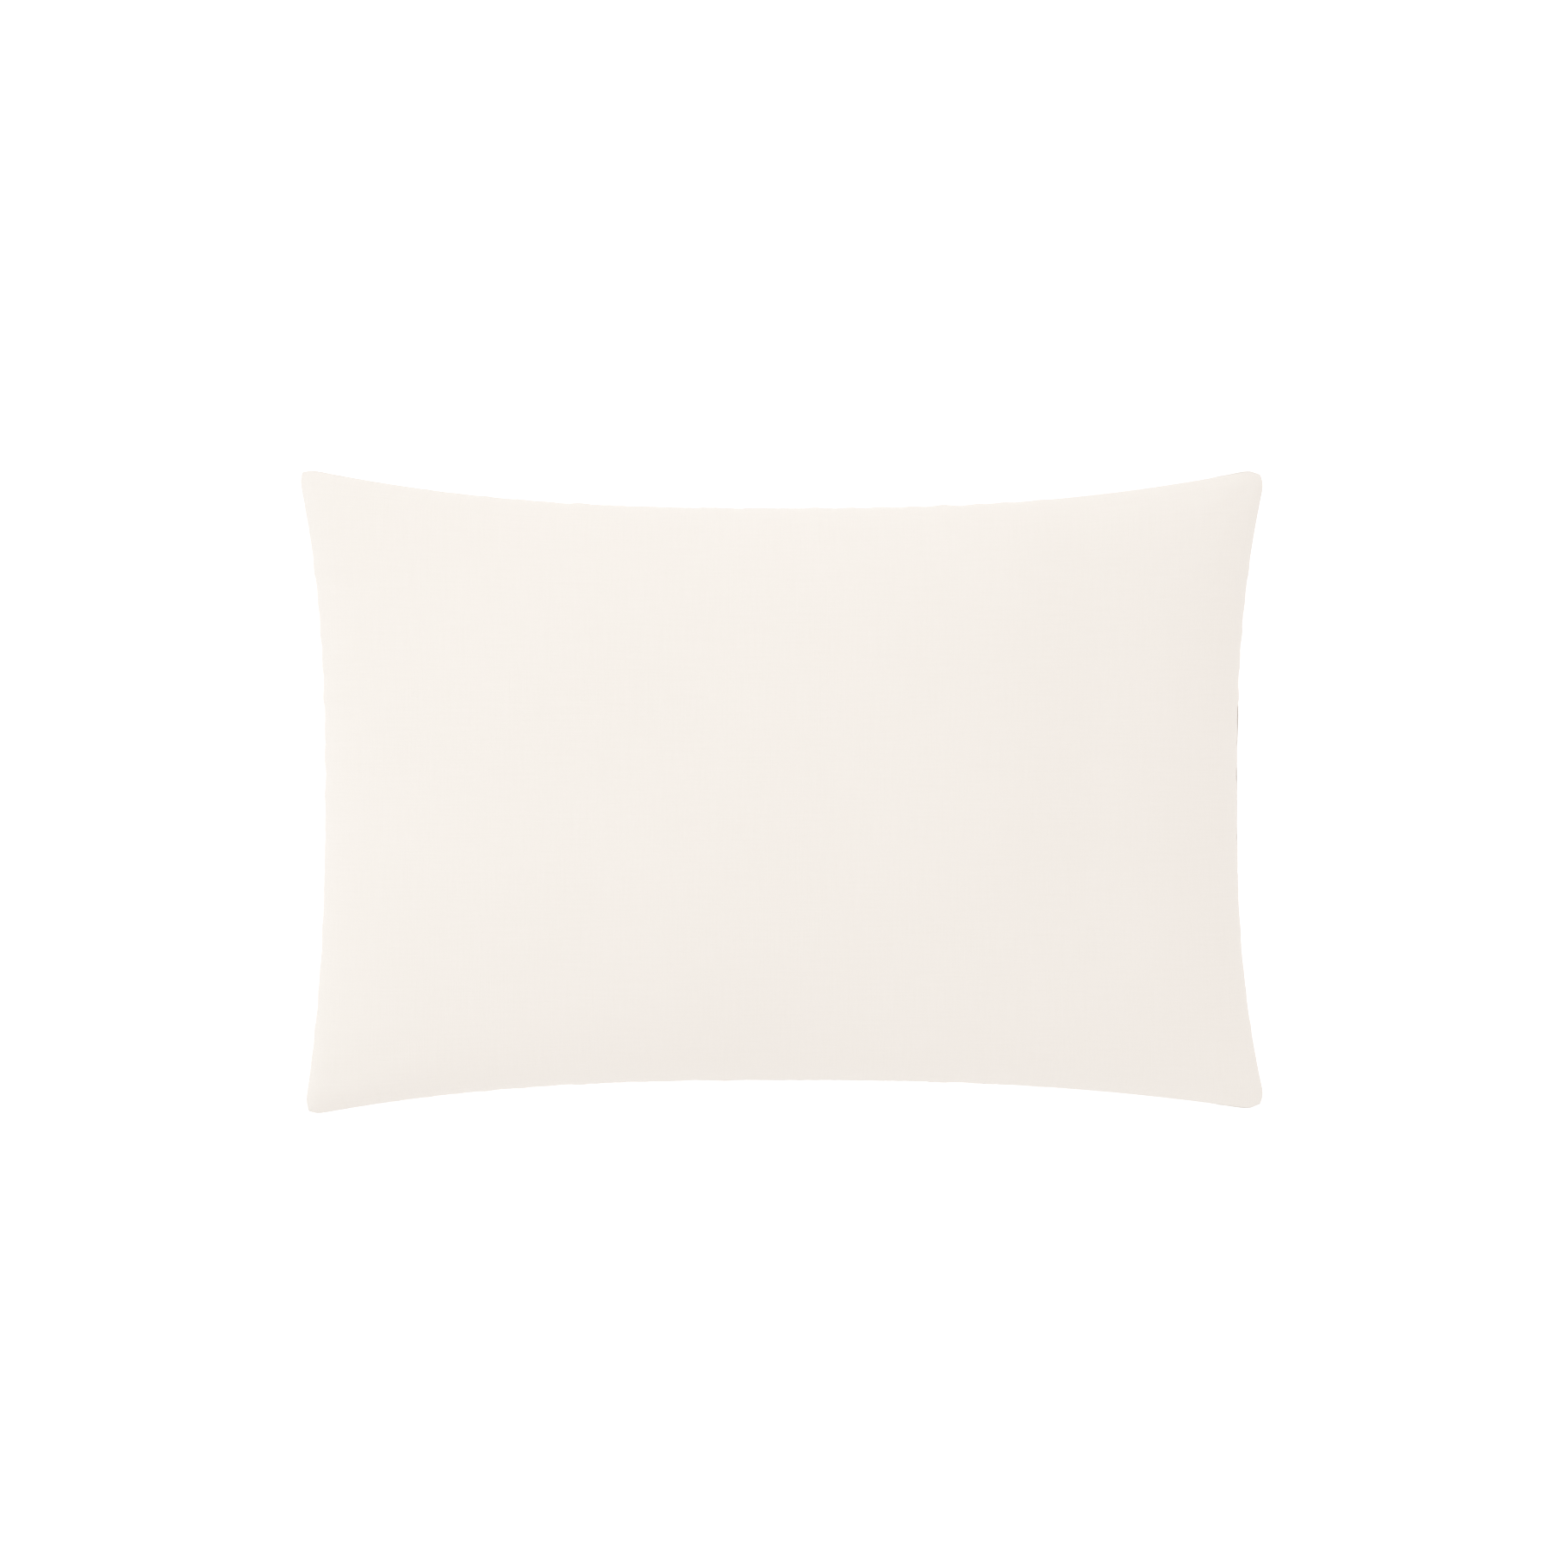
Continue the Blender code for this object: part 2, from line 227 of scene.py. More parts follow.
def layer(u, v, side, inset, depth, corner):
    """Points on a layer of the pillow: u along, v across, inset at the edges, depth below."""
    u, v, side = np.broadcast_arrays(u, v, side)
    end = np.where(u > 0, DRAW_IN_X[1], DRAW_IN_X[-1])
    edge = np.where(v > 0, DRAW_IN_Y[1], DRAW_IN_Y[-1])
    reach_x = HALF_LENGTH - inset - end * (1 - np.abs(v) ** DRAW_IN_POWER)
    reach_y = HALF_WIDTH - inset - edge * (1 - np.abs(u) ** DRAW_IN_POWER)
    x = np.abs(u) * reach_x
    y = np.abs(v) * reach_y
    corner = corner * np.where(u > 0, CORNER_SHARE[1], CORNER_SHARE[-1])
    p = np.clip(corner - (reach_x - x), 0, corner)
    q = np.clip(corner - (reach_y - y), 0, corner)
    x = x + p * np.sqrt(1 - q * q / (2 * corner**2)) - p
    y = y + q * np.sqrt(1 - p * p / (2 * corner**2)) - q
    swell = np.sqrt(np.clip((1 - np.abs(u) ** FULLNESS) * (1 - np.abs(v) ** FULLNESS), 0, 1))
    level = SEAM_HEIGHT - CORNER_DROP * (u * u * v * v) ** 2
    top = level + (LOFT - SEAM_HEIGHT - depth) * swell
    under = level - (level - on_floor(level - UNDER_BULGE * swell)) * (1 - depth / SEAM_HEIGHT)
    z = np.where(side > 0, top, under)
    near = np.clip(-v, 0, 1) ** 3
    x = np.sign(u) * x + NEAR_LEFT_PULL * near * np.clip(-u, 0, 1) ** 3
    y = np.sign(v) * y + NEAR_RIGHT_PULL * near * np.clip(u, 0, 1) ** 3
    return np.stack([x, y, z], -1)


def on_floor(z):
    """Heights as the floor leaves them, blended over FLOOR_BLEND."""
    bent = (np.clip(z, -FLOOR_BLEND, FLOOR_BLEND) + FLOOR_BLEND) ** 2 / (4 * FLOOR_BLEND)
    return np.where(z > FLOOR_BLEND, z, bent)


def along_section(half, rise, w):
    """Where a fraction w of the cloth lies across a section this wide and high."""
    across = np.sin(np.linspace(0, math.pi / 2, 400))
    up = rise * np.sqrt(np.clip(1 - across**FULLNESS, 0, 1))
    run = np.concatenate([[0], np.cumsum(np.hypot(np.diff(across * half), np.diff(up)))])
    return np.sign(w) * np.interp(np.abs(w), run / run[-1], across)


def put_on(ws, wt, side, inset, depth, corner):
    """Where flat cloth lies before it settles, spread evenly over the pillow's sections."""
    full_s = np.clip(1 - np.abs(wt) ** FULLNESS, 0, 1) ** 0.65
    full_t = np.clip(1 - np.abs(ws) ** FULLNESS, 0, 1) ** 0.65
    gs = along_section(HALF_LENGTH - inset - MEAN_DRAW_IN[0], SECTION_RISE, ws)
    gt = along_section(HALF_WIDTH - inset - MEAN_DRAW_IN[1], SECTION_RISE, wt)
    u = ws + (gs - ws) * full_s
    v = wt + (gt - wt) * full_t
    return layer(u, v, side, inset, depth, corner)


def sewn_pouch(columns, rows):
    """Two rectangles of cloth sewn together all round, with each point's place on the cloth."""
    bm = bmesh.new()
    place = bm.verts.layers.float_vector.new("cloth")
    rims = []
    for side in (FRONT, BACK):
        made = bmesh.ops.create_grid(bm, x_segments=columns, y_segments=rows, size=1)["verts"]
        for vert in made:
            vert[place] = (vert.co.x, vert.co.y, side)
        if side == BACK:
            bmesh.ops.reverse_faces(bm, faces=list({f for v in made for f in v.link_faces}))
        rims += [vert for vert in made if vert.is_boundary]
    bmesh.ops.remove_doubles(bm, verts=rims, dist=1e-5)
    return bm


def settle(name, flat, inset, depth, corner, columns, rows, pressure, frames):
    """Lets a sewn pouch of this flat size settle on the pillow. Gives each side's grid of points."""
    bm = sewn_pouch(columns, rows)
    pouch = new_piece(name, bm, None)
    mesh = pouch.data
    count = len(mesh.vertices)
    cloth = np.empty(count * 3)
    mesh.attributes["cloth"].data.foreach_get("vector", cloth)
    cloth = cloth.reshape(-1, 3)
    worn = put_on(cloth[:, 0], cloth[:, 1], cloth[:, 2], inset, depth, corner)
    mesh.vertices.foreach_set("co", worn.ravel())
    settled = worn
    pouch.shape_key_add(name="worn", from_mix=False)
    cut = pouch.shape_key_add(name="cut", from_mix=False)
    sheet = cloth * (flat[0] / 2, flat[1] / 2, 0)
    cut.data.foreach_set("co", sheet.ravel())
    seam = np.flatnonzero(np.abs(cloth[:, :2]).max(1) > 0.9999)
    pouch.vertex_groups.new(name="seam").add([int(i) for i in seam], 1.0, "REPLACE")
    modifier = pouch.modifiers.new("Cloth", "CLOTH")
    cotton = modifier.settings
    cotton.quality = 6
    cotton.mass = 0.3
    cotton.air_damping = 3
    cotton.tension_stiffness = 15
    cotton.compression_stiffness = 15
    cotton.shear_stiffness = 6
    cotton.bending_model = "ANGULAR"
    cotton.bending_stiffness = 0.5
    cotton.use_pressure = True
    cotton.uniform_pressure_force = pressure
    cotton.vertex_group_mass = "seam"
    cotton.rest_shape_key = cut
    cotton.effector_weights.gravity = 0
    modifier.collision_settings.use_collision = False
    modifier.point_cache.frame_start = 1
    modifier.point_cache.frame_end = frames
    for step in range(1, frames + 1):
        bpy.context.scene.frame_set(step)
    shaped = pouch.evaluated_get(bpy.context.evaluated_depsgraph_get()).to_mesh()
    settled = np.empty(count * 3)
    shaped.vertices.foreach_get("co", settled)
    settled = settled.reshape(-1, 3)
    moved = settled - worn
    far = np.linalg.norm(moved, axis=1, keepdims=True)
    settled = worn + moved * np.minimum(1, SETTLE_CAP / np.maximum(far, 1e-9))
    bpy.data.objects.remove(pouch)
    settled[:, 2] = np.where(cloth[:, 2] > 0, settled[:, 2], on_floor(settled[:, 2]))
    grids = {}
    i = np.rint((cloth[:, 0] + 1) / 2 * columns).astype(int)
    j = np.rint((cloth[:, 1] + 1) / 2 * rows).astype(int)
    rim = np.abs(cloth[:, :2]).max(1) > 0.9999
    for side in (FRONT, BACK):
        grid = np.empty((columns + 1, rows + 1, 3))
        mine = rim | (cloth[:, 2] * side > 0)
        grid[i[mine], j[mine]] = settled[mine]
        grids[side] = grid
    return grids


def bell(distance, width):
    return np.exp(-((distance / width) ** 2))


def relief(x, y):
    """How the filling stands under the front cloth: its shoulder, a valley and a ridge by the mouth."""
    # the shoulder: past a line by the mouth and a slanting one by the near side, joined smoothly
    by_mouth = x - 0.205
    by_near_side = 0.433 * x - 0.90 * y - 0.145
    past = 0.03 * np.logaddexp(by_mouth / 0.03, by_near_side / 0.03)
    height = -0.0036 / (1 + np.exp(-past / 0.016))
    # a ridge and a valley side by side along the mouth
    stretch = np.clip(1 - (y / 0.20) ** 2, 0, 1)
    height += (0.0011 * bell(x - 0.292, 0.020) - 0.0010 * bell(x - 0.236, 0.018)) * stretch
    # a low roll by the far seam, and a crease that runs in from the near closed corner
    height += 0.0006 * bell(y - 0.198, 0.010) * bell(x + 0.19, 0.11)
    slant = (x + 0.300) * 0.45 - (y + 0.200) * 0.89
    height += -0.0011 * bell(slant, 0.009) * bell(x + 0.300, 0.045) * bell(y + 0.200, 0.030)
    # the filling's own soft unevenness
    height += 0.0005 * np.sin(19 * x + 11 * y + 1.0) * np.sin(23 * y - 9 * x + 0.4)
    return height


def off_seams(grid):
    """Each point's place on the cloth, and how free of its seams it is, from 0 to 1."""
    ws, wt = np.meshgrid(
        np.linspace(-1, 1, grid.shape[0]), np.linspace(-1, 1, grid.shape[1]), indexing="ij"
    )
    return ws, wt, np.clip((1 - np.maximum(np.abs(ws), np.abs(wt))) / SEAM_HOLD, 0, 1)


def stand_off(grids, side, heights):
    """Moves a settled side along its normals, and not at all at its seams."""
    grid = grids[side]
    ws, wt, free = off_seams(grid)
    out = cloth_normal(grids, ws, wt, side)
    grids[side] = grid + out * (heights(grid[..., 0], grid[..., 1]) * free)[..., None]


def keep_inside(grids, outer, gaps):
    """Pushes a cloth in where it comes nearer than its gap to the cloth outside it."""
    for side, gap in gaps.items():
        grid = grids[side]
        ws, wt, free = off_seams(grid)
        out = cloth_normal(outer, ws, wt, side)
        room = ((smooth_at(outer[side], ws, wt) - grid) * out).sum(-1)
        grids[side] = grid - out * (np.clip(gap - room, 0, None) * free)[..., None]


def smooth_at(grid, ws, wt):
    """The smooth surface through a grid of points, at these places on the cloth."""
    columns, rows = grid.shape[0] - 1, grid.shape[1] - 1
    # one more ring of points outside the edge keeps the edge where it is
    wide = np.pad(grid, ((1, 1), (1, 1), (0, 0)), mode="reflect", reflect_type="odd")
    a = np.clip((ws + 1) / 2, 0, 1) * columns
    b = np.clip((wt + 1) / 2, 0, 1) * rows
    i = np.minimum(a.astype(int), columns - 1)
    j = np.minimum(b.astype(int), rows - 1)

    def weights(t):
        return (
            (1 - t) ** 3 / 6,
            (3 * t**3 - 6 * t**2 + 4) / 6,
            (-3 * t**3 + 3 * t**2 + 3 * t + 1) / 6,
            t**3 / 6,
        )

    total = 0
    across = weights(b - j)
    for m, wm in enumerate(weights(a - i)):
        for n, wn in enumerate(across):
            ii = np.minimum(i + m, columns + 2)
            jj = np.minimum(j + n, rows + 2)
            total = total + (wm * wn)[..., None] * wide[ii, jj]
    return total


def cloth_point(grids, ws, wt, side, lift=0.0):
    """Points on a settled cloth, lifted off it along its outward normal."""
    ws, wt = np.broadcast_arrays(np.asarray(ws, float), np.asarray(wt, float))
    here = smooth_at(grids[side], ws, wt)
    out = cloth_normal(grids, ws, wt, side)
    return here + out * np.broadcast_to(lift, ws.shape)[..., None]


def cloth_normal(grids, ws, wt, side):
    step = 0.004
    grid = grids[side]
    s1, s0 = np.clip(ws + step, -1, 1), np.clip(ws - step, -1, 1)
    t1, t0 = np.clip(wt + step, -1, 1), np.clip(wt - step, -1, 1)
    along = smooth_at(grid, s1, wt) - smooth_at(grid, s0, wt)
    across = smooth_at(grid, ws, t1) - smooth_at(grid, ws, t0)
    out = np.cross(along, across) * side
    return out / np.maximum(np.linalg.norm(out, axis=-1, keepdims=True), 1e-12)


def ripple(length, seed, spacing, count):
    """A smooth uneven wave along a length, from -1 to 1, the same on every run."""
    rng = np.random.default_rng(seed)
    total = np.zeros_like(length)
    for _ in range(count):
        pitch = spacing * rng.uniform(0.6, 1.7)
        total += np.sin(2 * math.pi * length / pitch + rng.uniform(0, 6.28)) * rng.uniform(0.4, 1)
    return total / (0.7 * count)


# ------------------------------------------------------------------ cloth pieces

def stations(start, end, count, fine_end=True):
    """Places from start to end, closer together by an edge that carries a seam or a fold."""
    k = np.arange(count) + 0.5
    gap = 1 - 0.84 * np.exp(-k / 5)
    if fine_end:
        gap -= 0.84 * np.exp(-(count - k) / 5)
    run = np.concatenate([[0], np.cumsum(gap)])
    return start + (end - start) * run / run[-1]


def cloth_piece(name, material, ss, ts, place, thick=CLOTH, outward=1, metres=CASE_HALF, ring=False):
    """A cloth laid over these stations. place gives its points; its UVs are metres of flat cloth.

    metres says how long one unit of ss and of ts is. A ring's two ends are joined.
    """
    columns, rows = len(ss) - 1, len(ts) - 1
    bm = bmesh.new()
    bmesh.ops.create_grid(bm, x_segments=columns, y_segments=rows, size=1)
    if outward < 0:
        bmesh.ops.reverse_faces(bm, faces=bm.faces)
    piece = new_piece(name, bm, material)
    mesh = piece.data
    flat = np.empty(len(mesh.vertices) * 3)
    mesh.vertices.foreach_get("co", flat)
    flat = flat.reshape(-1, 3)
    ws = ss[np.rint((flat[:, 0] + 1) / 2 * columns).astype(int)]
    wt = ts[np.rint((flat[:, 1] + 1) / 2 * rows).astype(int)]
    mesh.vertices.foreach_set("co", place(ws, wt).ravel())
    corners = np.empty(len(mesh.loops), int)
    mesh.loops.foreach_get("vertex_index", corners)
    uv = mesh.uv_layers.new(name="cloth")
    uv.data.foreach_set("uv", np.stack([ws * metres[0], wt * metres[1]], -1)[corners].ravel())
    if ring:
        bm = bmesh.new()
        bm.from_mesh(mesh)
        bmesh.ops.remove_doubles(bm, verts=bm.verts, dist=1e-6)
        bmesh.ops.recalc_face_normals(bm, faces=bm.faces)
        bm.to_mesh(mesh)
        bm.free()
    if thick:
        wall = piece.modifiers.new("thickness", "SOLIDIFY")
        wall.thickness = thick
        wall.offset = -1
    return piece


# each kind of pucker: its spacing along the seam, its height, and how far in from the seam it dies away
FINE_PUCKER = (0.011, 0.00034, 0.010)
WIDE_PUCKER = (0.034, 0.00075, 0.026)
SEAM_GROOVE = (0.0011, 0.0010)
SEAM_LIP = (0.00030, 0.0015)


def edge_distance(ws, wt, half, open_mouth=False):
    """Metres of cloth to the nearest seam, and metres along that seam."""
    across = (1 - np.abs(wt)) * half[1]
    # an open mouth is no seam
    along = (1 + ws if open_mouth else 1 - np.abs(ws)) * half[0]
    on_long = across < along
    run = np.where(on_long, ws * half[0], 2 + wt * half[1])
    return np.minimum(across, along), run


def seam_roll(points, ws, wt, side, grids, half, open_mouth=False, seed=7, pull=1.0):
    """Draws the cloth in to the seam: a fine groove, and small puckers that die away from it."""
    off, run = edge_distance(ws, wt, half, open_mouth)
    out = cloth_normal(grids, ws, wt, side)
    spacing, height, reach = FINE_PUCKER
    pucker = ripple(run, seed + side, spacing, 5) * height * np.exp(-off / reach)
    spacing, height, reach = WIDE_PUCKER
    pucker += ripple(run, seed + 10 + side, spacing, 4) * height * np.exp(-off / reach)
    pucker *= np.clip(off / 0.0012, 0.15, 1) * pull
    middle = points * (-1, -1, 0)
    middle /= np.maximum(np.linalg.norm(middle, axis=1, keepdims=True), 1e-9)
    groove = SEAM_GROOVE[0] * bell(off, SEAM_GROOVE[1])
    lift = SEAM_LIP[0] * bell(off, SEAM_LIP[1]) * side
    flat = np.zeros_like(lift)
    return points + out * pucker[:, None] + middle * groove[:, None] + np.stack([flat, flat, lift], -1)


def front_cloth(cotton):
    def place(ws, wt):
        points = cloth_point(case_cloth, ws, wt, FRONT)
        return seam_roll(points, ws, wt, FRONT, case_cloth, CASE_HALF)

    ss = stations(-1, 1, 230)
    ts = stations(-1, 1, 156)
    return cloth_piece("front_cloth", cotton, ss, ts, place)


def mouth_gape(ws, wt):
    """How far the mouth's hem stands off the flap."""
    back_from_lip = (MOUTH_W - ws) * CASE_FLAT[0] / 2
    run = wt * CASE_FLAT[1] / 2
    held = np.clip((1 - np.abs(wt)) / 0.10, 0, 1) ** 0.7
    stand = 0.0012 + 0.0016 * (1 - wt * wt) + 0.0007 * ripple(run, 31, 0.085, 4)
    return np.clip(stand, 0.0006, None) * held * np.exp(-((back_from_lip / 0.020) ** 2))


def hem_step(ws, wt):
    """The hem's folded thickness, let down over a millimetre at its stitching, with a dimple there."""
    back_from_lip = (MOUTH_W - ws) * CASE_FLAT[0] / 2
    thick = 0.0005 / (1 + np.exp((back_from_lip - HEM_WIDTH) / 0.0007))
    dimple = -0.00028 * bell(back_from_lip - HEM_ROW, 0.0012)
    return thick + dimple


def back_place(ws, wt):
    lift = mouth_gape(ws, wt) + hem_step(ws, wt)
    lifted = cloth_point(case_cloth, ws, wt, BACK, lift)
    lifted[:, 2] = np.maximum(lifted[:, 2], 0.0)
    return seam_roll(lifted, ws, wt, BACK, case_cloth, CASE_HALF, open_mouth=True)


def back_cloth(cotton):
    ss = np.concatenate([
        stations(-1, HEM_W, 196, fine_end=False),
        stations(HEM_W, MOUTH_W, 26)[1:],
    ])
    ts = stations(-1, 1, 156)
    return cloth_piece("back_cloth", cotton, ss, ts, back_place, outward=-1)


def under_layer(name, cotton, start, end, columns, depth, with_gape=False):
    """A layer inside the back cloth."""

    def place(ws, wt):
        tuck = np.clip((1 - np.abs(wt)) * CASE_FLAT[1] / 2 / 0.012, 0, 1)
        lift = -depth * (0.35 + 0.65 * tuck)
        if with_gape:
            lift = lift + mouth_gape(ws, wt) + hem_step(ws, wt)
        near_end = np.exp(-(((1 - ws) * CASE_FLAT[0] / 2 / 0.004) ** 2))
        squeeze = 1 - (0.006 * (1 - tuck) + 0.0035 * near_end)
        points = cloth_point(case_cloth, ws, wt * LAYER_SHARE, BACK, lift)
        return points * np.stack([squeeze, squeeze, np.ones_like(squeeze)], -1)

    ss = stations(start, end, columns)
    ts = stations(-1, 1, 110)
    return cloth_piece(name, cotton, ss, ts, place, outward=-1)


def stitch_row(name, thread, places, outs, length=0.0026, width=0.00042, height=0.00028):
    """Single stitches between the places, each a small sunk loop of thread lying along the row."""
    bm = bmesh.new()
    for k in range(len(places) - 1):
        here, after = Vector(places[k]), Vector(places[k + 1])
        along = (after - here).normalized()
        out = Vector(outs[k])
        side = out.cross(along).normalized()
        turn = Matrix((along, side, out)).transposed().to_4x4()
        spot = Matrix.Translation((here + after) / 2) @ turn
        size = Matrix.Diagonal((length / 2, width / 2, height / 2, 1))
        bmesh.ops.create_uvsphere(bm, u_segments=8, v_segments=5, radius=1, matrix=spot @ size)
    return new_piece(name, bm, thread)


def seam_point(grids, ws, wt, out_by):
    """Points level with a seam, this far out from it over the floor."""
    step = 0.01
    long_edge = np.abs(wt) > np.abs(ws)
    s1 = np.where(long_edge, np.clip(ws + step, -1, 1), ws)
    s0 = np.where(long_edge, np.clip(ws - step, -1, 1), ws)
    t1 = np.where(long_edge, wt, np.clip(wt + step, -1, 1))
    t0 = np.where(long_edge, wt, np.clip(wt - step, -1, 1))
    grid = grids[FRONT]
    here = smooth_at(grid, ws, wt)
    along = smooth_at(grid, s1, t1) - smooth_at(grid, s0, t0)
    away = np.stack([along[..., 1], -along[..., 0], np.zeros_like(ws)], -1)
    away /= np.maximum(np.linalg.norm(away, axis=-1, keepdims=True), 1e-9)
    away *= np.sign((away * here).sum(-1, keepdims=True))
    return here + away * out_by[..., None]


def seam_strip(name, overlock, along_x, edge):
    """An overlocked seam allowance inside the case, wavy along its free edge."""

    def place(run, deep):
        here = np.full_like(run, edge)
        ws, wt = (run, here) if along_x else (here, run)
        points = seam_point(case_cloth, ws, wt, -deep)
        length = run * CASE_HALF[0 if along_x else 1]
        points[:, 2] += ripple(length, 51 + int(edge), 0.030, 4) * 0.0009 * deep / SEAM_ALLOWANCE
        return points

    reach = 1 - SEAM_END / CASE_HALF[0 if along_x else 1]
    runs = np.linspace(-reach, reach, 150 if along_x else 100)
    deeps = np.linspace(0.0016, SEAM_ALLOWANCE, 7)
    metres = (CASE_HALF[0 if along_x else 1], 1)
    return cloth_piece(name, overlock, runs, deeps, place, 0.0011, metres=metres)


def folded_label(name, satin, place_at):
    """A blank tab of satin, out from its seam and folded back on itself."""

    def place(across, path):
        out = np.minimum(path, 2 - path) * LABEL_LENGTH
        turn = np.clip((path - 1) / 0.03, -1, 1)
        gap = 0.0004 * turn + 0.0006 * (1 - np.abs(path - 1)) * turn
        return place_at(across * LABEL_WIDTH / 2, out, gap)

    across = np.linspace(-1, 1, 9)
    path = np.concatenate([np.linspace(0, 0.96, 18), np.linspace(0.97, 1.03, 7), np.linspace(1.04, 2, 18)])
    metres = (LABEL_WIDTH / 2, LABEL_LENGTH)
    return cloth_piece(name, satin, across, path, place, 0.00022, metres=metres)


def case_label(satin):
    """Caught in the near seam, lying inside the front cloth."""

    def place_at(across, out, gap):
        ws = CARE_TAB_AT + across / CASE_HALF[0]
        wt = -1 + (out + 0.0015) / CASE_HALF[1]
        return cloth_point(case_cloth, ws, wt, FRONT, -0.0022 - gap)

    return folded_label("care_tab", satin, place_at)


def ticking_label(satin):
    """Caught in the piping at the closed end, lying on the top and lifting at its fold."""

    def place_at(across, out, gap):
        ws = -1 + (out + 0.0010) / TICKING_HALF[0]
        wt = INNER_TAB_AT + across / TICKING_HALF[1]
        curl = 0.0014 * (out / LABEL_LENGTH) ** 3 + 0.0006 * (across / LABEL_WIDTH * 2) ** 2
        return cloth_point(ticking_cloth, ws, wt, FRONT, 0.0013 + gap + curl)

    return folded_label("inner_care_tab", satin, place_at)


def ticking_panel(name, ticking, side):
    """One panel of the inner pillow's cover, puckered where it is gathered on to the piping."""

    def place(ws, wt):
        points = cloth_point(ticking_cloth, ws, wt, side)
        if side == FRONT:
            # the closing seam draws the cloth in
            up = (1 - ws) * TICKING_HALF[0] - CLOSING_UP
            reach = np.clip((CLOSING_HALF - np.abs(wt * TICKING_HALF[1])) / 0.008, 0, 1)
            sunk = -0.0009 * bell(up, 0.0022) * reach
            points = points + cloth_normal(ticking_cloth, ws, wt, side) * sunk[:, None]
        return seam_roll(points, ws, wt, side, ticking_cloth, TICKING_HALF, seed=71, pull=1.7)

    ss = stations(-1, 1, 210)
    ts = stations(-1, 1, 142)
    return cloth_piece(name, ticking, ss, ts, place, outward=side, metres=TICKING_HALF)


def piped_edge(piping):
    """The covered cord sewn in all round the inner pillow."""
    sides = 12

    def place(run, turn):
        # once round the cloth's edge, from 0 to 4
        lap = run % 4
        leg = np.floor(lap).astype(int)
        t = 2 * (lap - leg) - 1
        legs = [leg == 0, leg == 1, leg == 2, leg == 3]
        ws = np.select(legs, [t, 1, -t, -1])
        wt = np.select(legs, [-1, t, 1, -t])
        along, across = t * TICKING_HALF[0], t * TICKING_HALF[1]
        length = np.select(legs, [along, 1 + across, 2 - along, 3 - across])
        radius = PIPING_RADIUS * (1 + 0.06 * ripple(length, 91, 0.012, 5))
        angle = turn * 2 * math.pi / sides
        out_by = PIPING_RADIUS * 0.8 + radius * np.cos(angle)
        points = seam_point(ticking_cloth, ws, wt, out_by)
        points[:, 2] += radius * np.sin(angle) + 0.0003 * ripple(length, 95, 0.045, 4)
        return points

    runs = np.concatenate([
        leg + (stations(-1, 1, count)[:-1] + 1) / 2
        for leg, count in ((0, 190), (1, 130), (2, 190), (3, 130))
    ] + [[4.0]])
    turns = np.arange(sides + 1.0)
    metres = (TICKING_FLAT[0], 2 * math.pi * PIPING_RADIUS / sides)
    return cloth_piece("piped_edge", piping, runs, turns, place, 0, metres=metres, ring=True)


def closing_stitches(thread):
    """The zigzag that shuts the hole the filling went in by."""
    across = np.arange(-CLOSING_HALF, CLOSING_HALF, CLOSING_PITCH)
    zig = np.where(np.arange(len(across)) % 2, CLOSING_ZIG, -CLOSING_ZIG)
    ws = 1 - (CLOSING_UP + zig) / TICKING_HALF[0]
    wt = across / TICKING_HALF[1]
    spots = cloth_point(ticking_cloth, ws, wt, FRONT, -0.00055)
    outs = cloth_normal(ticking_cloth, ws, wt, FRONT)
    return stitch_row("ticking_closing_stitches", thread, spots, outs, 0.0052, 0.00050, 0.00060)


def fibre_filling(fibre):
    """The filling, a lumpy closed mass a little inside its cover."""
    bm = sewn_pouch(100, 66)
    place = bm.verts.layers.float_vector["cloth"]
    middle = Vector((0, 0, SEAM_HEIGHT))
    for vert in bm.verts:
        ws, wt, side = vert[place]
        side = FRONT if side > 0 else BACK
        here = Vector(smooth_at(ticking_cloth[side], np.array([ws]), np.array([wt]))[0])
        lump = noise.fractal(here * 26, 1.0, 2.1, 3) + 0.4 * noise.noise(here * 90)
        vert.co = middle + (here - middle) * (FILLING_SHARE + LUMP_SHARE * max(-1.5, min(1.5, lump)))
    bmesh.ops.recalc_face_normals(bm, faces=bm.faces)
    return new_piece("fibre_filling_mass", bm, fibre)


# ------------------------------------------------------------------ materials

def base_material(name, colour, roughness, sheen):
    made = bpy.data.materials.new(name)
    made.use_nodes = True
    made.diffuse_color = (*colour, 1)
    shader = made.node_tree.nodes["Principled BSDF"]
    shader.inputs["Base Color"].default_value = (*colour, 1)
    shader.inputs["Roughness"].default_value = roughness
    shader.inputs["Specular IOR Level"].default_value = 0.25
    shader.inputs["Sheen Weight"].default_value = sheen
    shader.inputs["Sheen Roughness"].default_value = 0.5
    return made, made.node_tree, shader


def node(tree, kind, **values):
    made = tree.nodes.new(kind)
    for key, value in values.items():
        if key in made.inputs:
            made.inputs[key].default_value = value
        else:
            setattr(made, key, value)
    return made


def stretched_noise(tree, source, stretch, detail=2.0, roughness=0.5):
    """Noise drawn out by different scales along and across the cloth."""
    mapping = node(tree, "ShaderNodeMapping")
    mapping.inputs["Scale"].default_value = stretch
    tree.links.new(source, mapping.inputs["Vector"])
    field = node(tree, "ShaderNodeTexNoise", Scale=1.0, Detail=detail, Roughness=roughness)
    tree.links.new(mapping.outputs["Vector"], field.inputs["Vector"])
    return field.outputs["Fac"]


